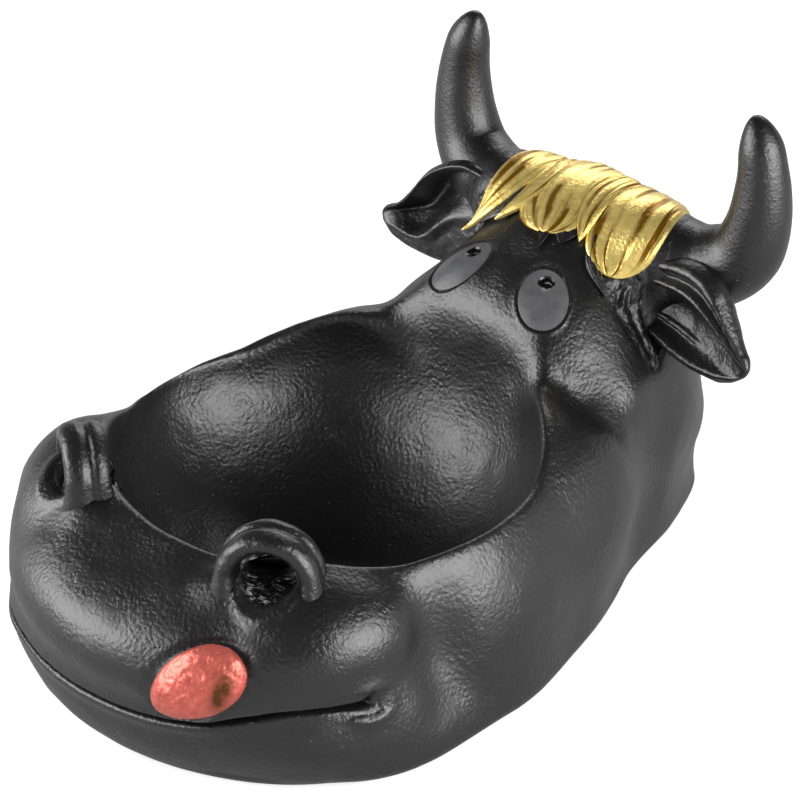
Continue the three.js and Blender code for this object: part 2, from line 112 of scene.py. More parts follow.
HEAD_MASSES = [
    mass((0, MUZZLE_Y + 7.5, 10), JAW_HALF, 3),
    mass((0, MUZZLE_Y, MUZZLE_Z), MUZZLE_HALF, 3),
    mass((-29.8, MUZZLE_Y + 3, MUZZLE_Z + 6.5), (16.8, 19, 13.2), 6),
    mass((29, MUZZLE_Y + 3, MUZZLE_Z + 4.5), (17, 19, 13), 6),
    mass((0, BOWL_Y + 0.5, 16), (CHEEK_HALF_WIDTH, CHEEK_HALF_LENGTH, 42), 4, True),
    *mass_pair((CHEEK_HALF_WIDTH - 11.2, MUZZLE_Y + 14, 2), (11, 18.5, 10), 5),
    mass((0, BOWL_Y + 30.5, 18), (CHEEK_HALF_WIDTH - 9, 36, 26), 12, True),
    *mass_pair((SKULL_HALF_WIDTH - 6, BOWL_Y + 32.5, 24), (15, 20, 18), 10),
    mass(
        (0, SKULL_Y, SKULL_CORE_Z), (SKULL_HALF_WIDTH, SKULL_HALF_LENGTH, SKULL_TOP - SKULL_CORE_Z), 10, True,
    ),
    *mass_pair((11.5, 36, 42.5), (10.5, 11.5, 10.3), 8),
    *mass_pair((18.2, -59.6, 33), (4.6, 4.4, 4.0), 5),
    mass((0, CROWN_Y, CROWN_Z), (SKULL_HALF_WIDTH - 6, 14, CROWN_HALF_HEIGHT), 8),
    *mass_pair((SKULL_HALF_WIDTH - 12, CROWN_Y - 0.5, CROWN_Z + 3), (8, 8, 8), 6),
]
HEAD_DENTS = [
    *mass_pair((CHEEK_HALF_WIDTH + 2, MUZZLE_Y + 15.5, 26), (6, 4, 12), 8),
    mass((0, MUZZLE_Y - 28.5, 45), (16, 16, 9), 10),
    *mass_pair((SKULL_HALF_WIDTH + 8, SKULL_Y + 24, 8), (12, 20, 20), 8),
]
BOWL = mass((0, BOWL_Y, RIM_Z), (BOWL_HALF_WIDTH, BOWL_HALF_LENGTH, RIM_Z - BOWL_FLOOR_Z), 0)
TROUGH = mass((0, 0, 0), TROUGH_HALF, 0)


def ellipsoid_distance(points, shape):
    away = points - shape.centre
    if shape.standing:
        away[:, 2] = np.maximum(0, away[:, 2])
    near = np.linalg.norm(away / shape.radii, axis=1)
    slope = np.linalg.norm(away / shape.radii ** 2, axis=1)
    return near * (near - 1) / np.maximum(slope, 1e-9)


def meld(a, b, width):
    """Union with a rounded seam"""
    share = np.maximum(width - np.abs(a - b), 0) / width
    return np.minimum(a, b) - share ** 2 * width / 4


def carve(a, b, width):
    """A with b cut out of it, and a rounded edge between"""
    return -meld(-a, b, width)


def smooth_step(value, low, high):
    share = np.clip((value - low) / (high - low), 0, 1)
    return share * share * (3 - 2 * share)


def ridge(value, middle, width):
    """A round ridge, 1 high where a value is at its middle, which fades out on both sides"""
    return np.exp(-((value - middle) / width) ** 2)


def power(value, exponent):
    """A power that keeps the sign"""
    return np.sign(value) * np.abs(value) ** exponent


def head_field(points):
    """Below zero inside the head, and about the distance to its skin near it"""
    distance = ellipsoid_distance(points, HEAD_MASSES[0])
    for shape in HEAD_MASSES[1:]:
        distance = meld(distance, ellipsoid_distance(points, shape), shape.blend)
    for shape in HEAD_DENTS:
        distance = carve(distance, ellipsoid_distance(points, shape), shape.blend)
    x, y, z = points.T
    on_forehead = smooth_step(y, *FOREHEAD_Y) * (1 - smooth_step(np.abs(x), *FOREHEAD_X))
    seam = RIM_ROUNDING + (FOREHEAD_ROUNDING - RIM_ROUNDING) * on_forehead
    distance = carve(distance, ellipsoid_distance(points, BOWL), seam)
    return carve(distance, z, FOOT_ROUNDING)


def slope_of(field, points):
    step = 0.05
    slopes = []
    for axis in np.eye(3) * step:
        slopes.append((field(points + axis) - field(points - axis)) / (2 * step))
    return np.stack(slopes, axis=1)


def unit(vectors):
    return vectors / np.maximum(np.linalg.norm(vectors, axis=-1, keepdims=True), 1e-12)


# Limits of one move towards the skin, and the steps and halvings of the search for it along a line
LONGEST_MOVE = 3.0
LEAST_SLOPE = 0.05
PROBE_STEPS = np.arange(0, 90, 0.25)
PROBE_HALVINGS = 14


def settle(points, field, height=0.0):
    """Moves points to a layer over the skin, and gives the directions out of it"""
    slope = slope_of(field, points)
    move = (field(points) - height) / np.maximum((slope ** 2).sum(axis=1), LEAST_SLOPE)
    return points - slope * np.clip(move, -LONGEST_MOVE, LONGEST_MOVE)[:, None], unit(slope)


def skin_along(start, direction):
    """The place where a line from inside the head comes out of its skin"""
    start, direction = np.array(start, float), unit(np.array(direction, float))
    line = start + PROBE_STEPS[:, None] * direction
    first_out = int(np.argmax(head_field(line) > 0))
    inside, outside = PROBE_STEPS[first_out - 1], PROBE_STEPS[first_out]
    for _ in range(PROBE_HALVINGS):
        middle = (inside + outside) / 2
        if head_field((start + middle * direction)[None])[0] < 0:
            inside = middle
        else:
            outside = middle
    return start + inside * direction


def out_of_skin(point):
    return unit(slope_of(head_field, np.array(point, float)[None]))[0]


# Curves and nets

POINTS_PER_SPAN = 40


def smooth_path(points, count=400):
    """Evenly spaced points on a smooth curve through the given ones"""
    points = np.array(points, float)
    points = np.vstack([2 * points[0] - points[1], points, 2 * points[-1] - points[-2]])
    t = np.linspace(0, 1, POINTS_PER_SPAN, endpoint=False)[:, None]
    pieces = []
    for a, b, c, d in zip(points, points[1:], points[2:], points[3:]):
        curve = 2 * b + (c - a) * t + (2 * a - 5 * b + 4 * c - d) * t ** 2 + (3 * b - a - 3 * c + d) * t ** 3
        pieces.append(curve / 2)
    curve = np.vstack([*pieces, points[-2]])
    length = np.append(0, np.cumsum(np.linalg.norm(np.diff(curve, axis=0), axis=1)))
    even = np.linspace(0, length[-1], count)
    return np.stack([np.interp(even, length, axis) for axis in curve.T], axis=1)


def profile(pairs):
    """A value that runs smoothly through pairs of share and value"""
    curve = smooth_path(pairs)
    return lambda share: np.interp(share, curve[:, 0], curve[:, 1])


def at_share(vectors, share):
    """Values at shares of the length of an even row of them"""
    shares = np.linspace(0, 1, len(vectors))
    return np.stack([np.interp(share, shares, axis) for axis in vectors.T], axis=1)


class Path:
    """A curve with a direction sideways and one upwards at each share of its length"""

    def __init__(self, points, up):
        self.line = smooth_path(points)
        along = unit(np.gradient(self.line, axis=0))
        self.side = unit(np.cross(along, np.array(up, float)))
        self.lift = np.cross(self.side, along)

    def at(self, share, across, over):
        sideways = at_share(self.side, share) * across[:, None]
        upwards = at_share(self.lift, share) * over[:, None]
        return at_share(self.line, share) + sideways + upwards


def points_of(bm):
    return np.array([vert.co for vert in bm.verts], float)


def move_to(bm, points):
    for vert, point in zip(bm.verts, points):
        vert.co = point


def closed_form(columns, rows, place):
    """A closed skin laid out like a globe. Place gives the points for shares from pole to pole and turns."""
    bm = bmesh.new()
    bmesh.ops.create_uvsphere(bm, u_segments=columns, v_segments=rows, radius=1)
    globe = points_of(bm)
    share = 1 - np.arccos(np.clip(globe[:, 2], -1, 1)) / math.pi
    turn = np.arctan2(globe[:, 1], globe[:, 0]) % FULL_TURN
    move_to(bm, place(share, turn))
    bmesh.ops.recalc_face_normals(bm, faces=bm.faces)
    return bm


def mirrored(bm):
    """A copy for the other side of the head"""
    copy = bm.copy()
    bmesh.ops.scale(copy, vec=(-1, 1, 1), verts=copy.verts)
    bmesh.ops.recalc_face_normals(copy, faces=copy.faces)
    return copy


def folded_over(points):
    """Points of the left side laid over the right one"""
    folded = points.copy()
    folded[:, 0] = np.abs(folded[:, 0])
    return folded


def finish_piece(name, bm, material, slot, node=None, marks=None):
    """Turns a bmesh in millimetres into a piece of the ashtray. Marks are values at its points."""
    if bm.calc_volume(signed=True) < 0:
        bmesh.ops.reverse_faces(bm, faces=bm.faces)
    bmesh.ops.scale(bm, vec=(MM, MM, MM), verts=bm.verts)
    mesh = bpy.data.meshes.new(name)
    bm.to_mesh(mesh)
    bm.free()
    mesh.shade_smooth()
    mesh.materials.append(material)
    for mark, values in (marks or {}).items():
        attribute = mesh.attributes.new(mark, "FLOAT", "POINT")
        attribute.data.foreach_set("value", np.asarray(values, np.float32))
    piece = bpy.data.objects.new(name, mesh)
    bpy.context.scene.collection.objects.link(piece)
    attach(piece, "root")
    if node:
        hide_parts(node)


def lumps(points, size, seed=0.0):
    """Smooth random rises and hollows, from -1 to 1, of a size in millimetres"""
    shift = Vector((seed, 2 * seed, 3 * seed))
    return np.array([noise.noise(Vector(point) / size + shift) for point in points])


# Materials

def linear(colour):
    channels = [int(colour[i:i + 2], 16) / 255 for i in (1, 3, 5)]
    return [c / 12.92 if c <= 0.04045 else ((c + 0.055) / 1.055) ** 2.4 for c in channels] + [1]


def add_node(tree, kind, inputs=None, **settings):
    """Adds a node with its settings, and fills its inputs with values or with other nodes' outputs"""
    added = tree.nodes.new(kind)
    for name, value in settings.items():
        setattr(added, name, value)
    for name, value in (inputs or {}).items():
        if isinstance(value, bpy.types.NodeSocket):
            tree.links.new(value, added.inputs[name])
        else:
            added.inputs[name].default_value = value
    return added


# Sockets of a Mix node for colours, whose names it shares with those for numbers and vectors
SHARE, FIRST, SECOND, MIXED = 0, 6, 7, 2


def new_material(name):
    """A material with its tree, its shader and the object's own coordinates in metres"""
    material = bpy.data.materials.new(name)
    material.use_nodes = True
    tree = material.node_tree
    shader = next(each for each in tree.nodes if each.type == "BSDF_PRINCIPLED")
    place = add_node(tree, "ShaderNodeTexCoord").outputs["Object"]
    return material, tree, shader, place


def wrinkled_bump(tree, place, grain_mm, depth_mm, pull=0.8):
    """Leathery grain: small pebbles pulled out of shape, and a slower swell that varies their depth"""
    fine = add_node(tree, "ShaderNodeTexNoise", {
        "Vector": place, "Scale": 1 / (grain_mm * MM), "Detail": 2.0, "Roughness": 0.55, "Distortion": pull,
    })
    pebble = add_node(tree, "ShaderNodeTexVoronoi", {
        "Vector": place, "Scale": 1 / (1.25 * grain_mm * MM), "Smoothness": 0.6, "Randomness": 1.0,
    }, feature="SMOOTH_F1")
    slow = add_node(tree, "ShaderNodeTexNoise", {
        "Vector": place, "Scale": 1 / (7 * grain_mm * MM), "Detail": 1.0,
    })
    grain = add_node(tree, "ShaderNodeMath", {
        0: pebble.outputs["Distance"], 1: -0.55, 2: fine.outputs["Fac"],
    }, operation="MULTIPLY_ADD")
    height = add_node(tree, "ShaderNodeMath", {
        0: grain.outputs[0], 1: slow.outputs["Fac"],
    }, operation="MULTIPLY")
    return add_node(tree, "ShaderNodeBump", {
        "Height": height.outputs[0], "Strength": 1.0, "Distance": 2 * depth_mm * MM,
    })


def black_lacquer(name, grain_mm, depth_mm):
    """Satin black lacquer sprayed over a casting with a leathery skin: soft broad highlights, fine specks"""
    material, tree, shader, place = new_material(name)
    specks = add_node(tree, "ShaderNodeTexVoronoi", {
        "Vector": place, "Scale": 1 / (3.2 * MM), "Randomness": 1.0,
    })
    is_speck = add_node(tree, "ShaderNodeMath", {
        0: specks.outputs["Distance"], 1: 0.035,
    }, operation="LESS_THAN")
    colour = add_node(tree, "ShaderNodeMix", {
        SHARE: is_speck.outputs[0], FIRST: linear("#0c0c0d"), SECOND: linear("#7c7c7c"),
    }, data_type="RGBA")
    tree.links.new(colour.outputs[MIXED], shader.inputs["Base Color"])
    bump = wrinkled_bump(tree, place, grain_mm, depth_mm, 0.4)
    tree.links.new(bump.outputs[0], shader.inputs["Normal"])
    shader.inputs["IOR"].default_value = 1.58
    wet = add_node(tree, "ShaderNodeAttribute", attribute_name="wet")
    rough = add_node(tree, "ShaderNodeMapRange", {
        "Value": wet.outputs["Fac"], "To Min": 0.37, "To Max": 0.22,
    })
    tree.links.new(rough.outputs[0], shader.inputs["Roughness"])
    return material


def eye_lacquer():
    """Charcoal lacquer brushed smooth over the eyes, with a drop of gloss black in each pupil"""
    material, tree, shader, place = new_material("charcoal_eye_lacquer")
    shade = add_node(tree, "ShaderNodeTexNoise", {"Vector": place, "Scale": 1 / (3 * MM), "Detail": 3.0})
    charcoal = add_node(tree, "ShaderNodeMix", {
        SHARE: shade.outputs["Fac"], FIRST: linear("#353536"), SECOND: linear("#5a5a5c"),
    }, data_type="RGBA")
    mark = add_node(tree, "ShaderNodeAttribute", attribute_name="pupil")
    in_pupil = add_node(tree, "ShaderNodeMapRange", {
        "Value": mark.outputs["Fac"], "From Min": 0.45, "From Max": 0.55,
    })
    colour = add_node(tree, "ShaderNodeMix", {
        SHARE: in_pupil.outputs[0], FIRST: charcoal.outputs[MIXED], SECOND: linear("#050505"),
    }, data_type="RGBA")
    tree.links.new(colour.outputs[MIXED], shader.inputs["Base Color"])
    rough = add_node(tree, "ShaderNodeMapRange", {
        "Value": in_pupil.outputs[0], "To Min": 0.42, "To Max": 0.2,
    })
    tree.links.new(rough.outputs[0], shader.inputs["Roughness"])
    bump = wrinkled_bump(tree, place, 0.9, 0.045)
    tree.links.new(bump.outputs[0], shader.inputs["Normal"])
    return material


def gold_lacquer():
    """Pale brass-gold metallic lacquer, brushed on thin: brown painted shade down in the grooves, pale gold
    on the crests, and a random tone that makes it browner or paler in patches
    """
    material, tree, shader, place = new_material("gold_metallic_lacquer")
    groove = add_node(tree, "ShaderNodeAttribute", attribute_name="groove")
    tone = add_node(tree, "ShaderNodeTexNoise", {
        "Vector": place, "Scale": 1 / (1.5 * MM), "Detail": 6.0, "Roughness": 0.7,
    })
    # Painted shade: the groove mark of the locks pushes the gold towards brown down between the ridges, on
    # top of a random tone
    groove_shade_and_tone = add_node(tree, "ShaderNodeMath", {
        0: groove.outputs["Fac"], 1: 1.5, 2: tone.outputs["Fac"],
    }, operation="MULTIPLY_ADD")
    depth = add_node(tree, "ShaderNodeMapRange", {
        "Value": groove_shade_and_tone.outputs[0], "From Min": 0.42, "From Max": 1.2,
    })
    colour = add_node(tree, "ShaderNodeMix", {
        SHARE: depth.outputs[0], FIRST: linear("#ffe388"), SECOND: linear("#8c6212"),
    }, data_type="RGBA")
    tree.links.new(colour.outputs[MIXED], shader.inputs["Base Color"])
    bump = wrinkled_bump(tree, place, 0.6, 0.07)
    tree.links.new(bump.outputs[0], shader.inputs["Normal"])
    shader.inputs["Metallic"].default_value = 0.72
    shader.inputs["Roughness"].default_value = 0.3
    return material


def red_lacquer():
    """Coral red metallic lacquer on the tongue, rubbed brown at its lower right edge"""
    material, tree, shader, place = new_material("coral_metallic_lacquer")
    tone = add_node(tree, "ShaderNodeTexNoise", {"Vector": place, "Scale": 1 / (1.2 * MM), "Detail": 3.0})
    worn = add_node(tree, "ShaderNodeAttribute", attribute_name="worn")
    patch = add_node(tree, "ShaderNodeMath", {
        0: tone.outputs["Fac"], 1: worn.outputs["Fac"],
    }, operation="MULTIPLY", use_clamp=True)
    coat = add_node(tree, "ShaderNodeMix", {
        SHARE: tone.outputs["Fac"], FIRST: linear("#9a3a30"), SECOND: linear("#ea7c6e"),
    }, data_type="RGBA")
    colour = add_node(tree, "ShaderNodeMix", {
        SHARE: patch.outputs[0], FIRST: coat.outputs[MIXED], SECOND: linear("#5a3010"),
    }, data_type="RGBA")
    tree.links.new(colour.outputs[MIXED], shader.inputs["Base Color"])
    bump = wrinkled_bump(tree, place, 0.7, 0.1)
    tree.links.new(bump.outputs[0], shader.inputs["Normal"])
    shader.inputs["Metallic"].default_value = 0.6
    shader.inputs["Roughness"].default_value = 0.4
    return material


BLACK = black_lacquer("satin_black_lacquer", 0.75, 0.115)
SMOOTH_BLACK = black_lacquer("smooth_satin_black_lacquer", 0.6, 0.075)
CHARCOAL = eye_lacquer()
GOLD = gold_lacquer()
RED = red_lacquer()


# Head

# Rings from the middle of the foot up the outside, over the rim and down into the bowl: middle along y, half
# width, half length, and height at the front and at the back
HEAD_RINGS = np.array([
    (0, 0.5, 0.5, -1, -1),
    (0, CHEEK_HALF_WIDTH - 8, SKULL_Y + 24, -1, -1),
    (0, CHEEK_HALF_WIDTH + 2, SKULL_Y + SKULL_HALF_LENGTH + 2, 3, 3),
    (0, CHEEK_HALF_WIDTH + 4, SKULL_Y + SKULL_HALF_LENGTH + 4, 11, 14),
    (0, CHEEK_HALF_WIDTH + 4, SKULL_Y + SKULL_HALF_LENGTH + 4, 21, 27),
    (0, CHEEK_HALF_WIDTH + 3, SKULL_Y + SKULL_HALF_LENGTH + 2, 32, 42),
    (-1, CHEEK_HALF_WIDTH, SKULL_Y + SKULL_HALF_LENGTH - 3, 42, 62),
    (-2, CHEEK_HALF_WIDTH - 6, SKULL_Y + 18, 46, CROWN_TOP + 8),
    (-8, BOWL_HALF_WIDTH, SKULL_Y + 6, 46, CROWN_TOP - 2),
    (BOWL_Y, BOWL_HALF_WIDTH - 2.5, BOWL_HALF_LENGTH + 2.5, RIM_Z + 4, RIM_Z + 12),
    (BOWL_Y, BOWL_HALF_WIDTH - 5.5, BOWL_HALF_LENGTH - 2.5, RIM_Z - 6, RIM_Z),
    (BOWL_Y, BOWL_HALF_WIDTH - 13.5, BOWL_HALF_LENGTH - 10.5, BOWL_FLOOR_Z + 16, BOWL_FLOOR_Z + 18),
    (BOWL_Y, BOWL_HALF_WIDTH - 26, BOWL_HALF_LENGTH - 24, BOWL_FLOOR_Z + 8, BOWL_FLOOR_Z + 8),
    (BOWL_Y, 0.5, 0.5, BOWL_FLOOR_Z + 1, BOWL_FLOOR_Z + 1),
], float)


def head_guide(share, turn):
    """A loose shell round the head, which is then drawn onto its skin"""
    steps = np.linspace(0, 1, len(HEAD_RINGS))
    middle, half_width, half_length, front, back = [
        profile(np.stack([steps, column], axis=1))(share) for column in HEAD_RINGS.T
    ]
    rearward = ((1 + np.sin(turn)) / 2) ** 2
    height = front + (back - front) * rearward
    return np.stack([half_width * np.cos(turn), middle + half_length * np.sin(turn), height], axis=1)


# Points lower than this stay where they are on the foot
FOOT_EDGE = 1.2


def even_out(bm, points, rounds, field):
    """Lays points on the skin of a field and evens them out along it, except on the flat foot"""
    ends = np.array([[vert.index for vert in edge.verts] for edge in bm.edges])
    count = len(points)
    reach = np.bincount(ends.ravel(), minlength=count)
    for _ in range(rounds):
        points, out = settle(points, field)
        near = np.stack([
            np.bincount(ends[:, 0], points[ends[:, 1], axis], count)
            + np.bincount(ends[:, 1], points[ends[:, 0], axis], count)
            for axis in range(3)
        ], axis=1) / reach[:, None]
        pull = near - points
        pull -= out * (pull * out).sum(axis=1, keepdims=True)
        points = points + 0.5 * pull * (points[:, 2:] > FOOT_EDGE)
    return points


def refine(bm, wanted, field):
    """Splits the faces where a test of points asks for finer detail, and lays the new points on the skin"""
    points = points_of(bm)
    close = wanted(points)
    bm.verts.ensure_lookup_table()
    edges = [edge for edge in bm.edges if close[edge.verts[0].index] and close[edge.verts[1].index]]
    bmesh.ops.subdivide_edges(bm, edges=edges, cuts=1, use_grid_fill=True)
    bm.verts.index_update()
    points = points_of(bm)
    for _ in range(2):
        points, _ = settle(points, field)
    move_to(bm, points)


# A distance out of reach, and how many points are compared with a curve at once
FAR = 1e3
BATCH = 4000


def near_curve(points, curve, reach):
    """Distance to a curve and the index of its nearest point, for points within reach of it"""
    distance = np.full(len(points), FAR)
    index = np.zeros(len(points), int)
    low, high = curve.min(axis=0) - reach, curve.max(axis=0) + reach
    close = np.flatnonzero(((points > low) & (points < high)).all(axis=1))
    for start in range(0, len(close), BATCH):
        part = close[start:start + BATCH]
        gaps = np.linalg.norm(points[part, None] - curve[None], axis=2)
        index[part] = gaps.argmin(axis=1)
        distance[part] = gaps.min(axis=1)
    return distance, index


# Mouth line, by its height at turns round the muzzle, from the left corner to the right one
mouth_line = smooth_path([
    skin_along(
        (0, MUZZLE_Y - 7.5, height),
        (math.sin(math.radians(turn)), -math.cos(math.radians(turn)), 0),
    )
    for turn, height in MOUTH_RISE
], 700)

loop_foot = skin_along((LOOP_X, MUZZLE_Y - LOOP_FORWARD, MUZZLE_Z), (0, 0, 1))
EYE_HALF_WIDTH, EYE_HALF_HEIGHT = 5.0, 7.0
TONGUE_HALF_WIDTH, TONGUE_HALF_HEIGHT, TONGUE_HALF_THICKNESS = 9.8, 6.3, 2.7


class Patch:
    """A plane that faces out of the skin, where an eye or the tongue lies"""

    def __init__(self, start, direction, up_hint):
        self.middle = skin_along(start, direction)
        self.out = out_of_skin(self.middle)
        self.side = unit(np.cross(np.array(up_hint, float), self.out))
        self.up = np.cross(self.out, self.side)

    def place_of(self, points):
        """Steps of points sideways, upwards and outwards from the middle"""
        away = points - self.middle
        return away @ self.side, away @ self.up, away @ self.out

    def at(self, across, up, out):
        return self.middle + np.outer(across, self.side) + np.outer(up, self.up) + np.outer(out, self.out)

    def ring_of(self, points, half_width, half_height, reach=6):
        """How far out points lie, as a share of an oval's outline"""
        across, up, out = self.place_of(points)
        return np.where(np.abs(out) < reach, np.hypot(across / half_width, up / half_height), FAR)


EYE_START = (0, SKULL_Y, SKULL_CORE_Z + 10)
right_eye = Patch(EYE_START, (11, -14.8, 24.4), (-0.51, 0.55, 0.67))
left_eye = Patch(EYE_START, (-9.6, -15.2, 24.4), (0.3, 0.6, 0.72))
tongue_patch = Patch((0, MUZZLE_Y - 12, MUZZLE_Z), (25.8, -13.6, 2.0), (-0.8, 0, 1))


def eye_ring(points):
    """How far out from the nearer eye's middle points lie"""
    rings = [eye.ring_of(points, EYE_HALF_WIDTH, EYE_HALF_HEIGHT) for eye in (right_eye, left_eye)]
    return np.minimum(*rings)


def trough_place(points):
    """Steps across, along and over the trough that lies under a loop"""
    dx = np.abs(points[:, 0]) - loop_foot[0]
    dy = points[:, 1] - loop_foot[1]
    across = dx * math.cos(LOOP_TOE_OUT) + dy * math.sin(LOOP_TOE_OUT)
    along = dx * math.sin(LOOP_TOE_OUT) - dy * math.cos(LOOP_TOE_OUT) + TROUGH_BACK
    return across, along, points[:, 2] - loop_foot[2] - TROUGH_LIFT


def head_with_troughs(points):
    trough = ellipsoid_distance(np.stack(trough_place(points), axis=1), TROUGH)
    return carve(head_field(points), trough, TROUGH_ROUNDING)


LOOP_ZONE_HALF = (8, 10, 8)


def near_loops(points):
    across, along, over = trough_place(points)
    half_across, half_along, half_over = LOOP_ZONE_HALF
    return (np.hypot(across / half_across, along / half_along) < 1) & (np.abs(over) < half_over)


horn_root = skin_along((0, CROWN_Y, CROWN_Z + 5), (1, 0, 0))
HORN_REACH, HORN_LEAN, HORN_RISE = 12.4, 4.5, 32.4

# Shares of the reach, lean and rise from a horn's root to its tip
HORN_STEPS = [
    (0.02, 0.35, -0.075), (0.42, 0.62, -0.02), (0.76, 0.82, 0.1), (0.94, 0.9, 0.29), (0.99, 0.94, 0.54),
    (0.91, 0.96, 0.78), (0.74, 1, 0.995),
]
horn_path = Path(
    [horn_root + (-9, -1, -2)]
    + [horn_root + (a * HORN_REACH, b * HORN_LEAN, c * HORN_RISE) for a, b, c in HORN_STEPS],
    (0, 1, 0),
)
horn_thickness = profile([(0, 6.2), (0.12, 7.4), (0.27, 8.1), (0.42, 7.3), (0.6, 6.2), (0.8, 4.9), (1, 3.7)])
TIP_SHARE = 0.84


def horn_radius(way):
    tip = np.clip((way - TIP_SHARE) / (1 - TIP_SHARE), 0, 1)
    return horn_thickness(way) * np.maximum(1 - tip ** 2.2, 0) ** 0.55


FILLET = 6.5


def fillet(gap_between):
    """How far two skins swell towards each other where they meet, so that the clay runs smoothly on"""
    return np.maximum(FILLET - np.abs(gap_between), 0) ** 2 / (4 * FILLET)


def from_horn(points):
    """The way out of the nearest horn's middle, and the distance from its skin"""
    folded = folded_over(points)
    distance, nearest = near_curve(folded, horn_path.line, FILLET + 10)
    way = nearest / (len(horn_path.line) - 1)
    return unit(folded - horn_path.line[nearest]), distance - horn_radius(way)


EAR_FOLDS = [smooth_path(fold, 120) for fold in (
    [
        (20.7, 50.7, 60.1), (21.8, 50.1, 56.6), (21.4, 49.1, 52.5), (23.2, 48.4, 47.9), (25.8, 48.7, 43.1),
        (26.8, 48.3, 40.9),
    ],
    [(19, 48.6, 58.4), (20.5, 46.9, 54), (21, 45.6, 50.8), (23.6, 46.2, 46.6), (26.3, 46.9, 41.8)],
    [(22.6, 49.6, 57.6), (23.4, 49.3, 54.6), (23.6, 48.9, 51.2), (25, 49, 47.6)],
)]

NECK_CREASE = smooth_path([
    (23.7, 27.6, 43.6), (26.9, 28.9, 40.8), (30.4, 29.4, 38.1), (33.2, 30.8, 34.4),
], 60)

# Hand-pressed rises and hollows: place, size across and height
PRESSED = [
    ((-43, -20, 35), 9, -1.0), ((-42, -45, 38), 7, 0.8), ((-38, 2, 40), 7, 0.6), ((-26, 26, 44), 8, 0.9),
    ((-19, 37, 52), 5, -0.8), ((-40, -60, 30), 6, -0.8), ((33, 41, 3), 8, 1.1), ((20, 72, 6), 9, -1.0),
    ((22, 70, 25), 8, -0.7), ((28, -67, 3), 10, -1.0), ((41, 23, 3), 6, -0.6), ((34, -42, 37), 8, -0.8),
    ((12, -57, 37), 5, -0.7), ((-32, -69, 8), 6, 0.4), ((29, 41, 38), 8, 1.6), ((27.5, 25, 42), 6, -1.0),
    ((20, 70, 18), 7, 0.9), ((24, 66, 9), 7, -0.6), ((22, 62, 16), 6, 0.7),
    ((28.5, 37.5, 38.5), 7, 1.5), ((31, 25, 38), 6, -0.8),
]

# How far the other hand-made forms stand out of the head's skin or go into it
UPPER_LIP, ROLLED_LIP, OPEN_LIP_DROP, LIP_SLIDE = 0.85, 0.75, 0.6, 0.2
MOUTH_DEPTH, CORNER_FOLD, CORNER_DIMPLE = 2.4, 0.9, 0.8
TONGUE_GAP = 0.8
EYE_LID, EYE_GROOVE, EYE_SEAT = 0.22, 0.16, 0.5
CRUMPLE, TROUGH_FILL, TROUGH_LIP = 1.6, 1.2, 0.55
FOLD_HEIGHTS, FOLD_VALLEY, FOLD_LUMPS = (0.6, 0.5, 0.4), 0.3, 0.35
NECK_STEP = 0.4
SLOW_DENT, SMALL_DENT = 0.14, 0.1

# Heights over the foot between which these forms set in, and up to which the foot is flat
ABOVE_FOOT = (0.3, 2.5)
FLAT_UP_TO = 0.02

# Tests for the places where the head's net is made finer, one after the other
FINE_PLACES = [
    lambda points: near_curve(points, mouth_line, 4)[0] < 2.6,
    lambda points: near_curve(points, mouth_line, 4)[0] < 1.5,
    near_loops,
    lambda points: np.abs(eye_ring(points) - 1) < 0.3,
    lambda points: np.abs(eye_ring(points) - 1.03) < 0.12,
    lambda points: near_curve(np.abs(points), EAR_FOLDS[1], 6)[0] < 4.5,
]


def mouth_relief(points, skin_out):
    """The rise of the lips, and how far the upper one slides down over the sharp line between them. The line
    opens wider from the tongue to the right corner, and ends there in a dimple with a full fold round it."""
    gap, nearest = near_curve(points, mouth_line, 8)
    along_mouth = nearest / (len(mouth_line) - 1) * 2 - 1
    up_skin = unit(np.array((0, 0, 1.0)) - skin_out * skin_out[:, 2:])
    height = ((points - mouth_line[nearest]) * up_skin).sum(axis=1)
    ends = smooth_step(1 - np.abs(along_mouth), 0, 0.05) * (gap < 8)
    open_right = smooth_step(along_mouth, 0.42, 0.62)

    line_width = 0.42 + 0.33 * open_right
    line_depth = MOUTH_DEPTH + 0.8 * open_right
    line = -line_depth * np.exp(-(np.abs(height + 0.15) / line_width) ** 2.4)
    upper = (UPPER_LIP - 0.35 * open_right) * np.exp(-np.maximum(height, 0) / 3)
    rolled_lip = ROLLED_LIP * ridge(height, -1.7, 1.3) * (1 - open_right)
    lower = rolled_lip - OPEN_LIP_DROP * open_right * np.exp(-np.maximum(-height, 0) / 3)
    lips = np.where(height > 0, upper, lower) * ridge(gap, 0, 5)

    right_corner = mouth_line[-6]
    from_corner = np.linalg.norm(points - right_corner, axis=1)
    in_line = smooth_step(along_mouth, -0.5, 0.999) * (gap < 2.5)
    corner = CORNER_FOLD * ridge(from_corner, 3.4, 1.5) * (1 - in_line)
    corner -= CORNER_DIMPLE * ridge(from_corner, 0, 1.6)

    slide = -LIP_SLIDE * ends * (height > 0) * ridge(height, 1, 0.8)
    return (lips + line) * ends + corner, up_skin * slide[:, None]


def tongue_relief(points):
    """The tongue is pressed into the lip, with a gap round its edge"""
    ring = tongue_patch.ring_of(points, TONGUE_HALF_WIDTH, TONGUE_HALF_HEIGHT)
    return -TONGUE_GAP * ridge(ring, 1.04, 0.07)


def eye_relief(points):
    """Each eye lies in a fine groove, with a raised lid edge round it"""
    ring = eye_ring(points)
    lid = EYE_LID * ridge(ring, 1.11, 0.06)
    groove = EYE_GROOVE * ridge(ring, 1.015, 0.02)
    return lid - groove - EYE_SEAT * (ring < 0.96)


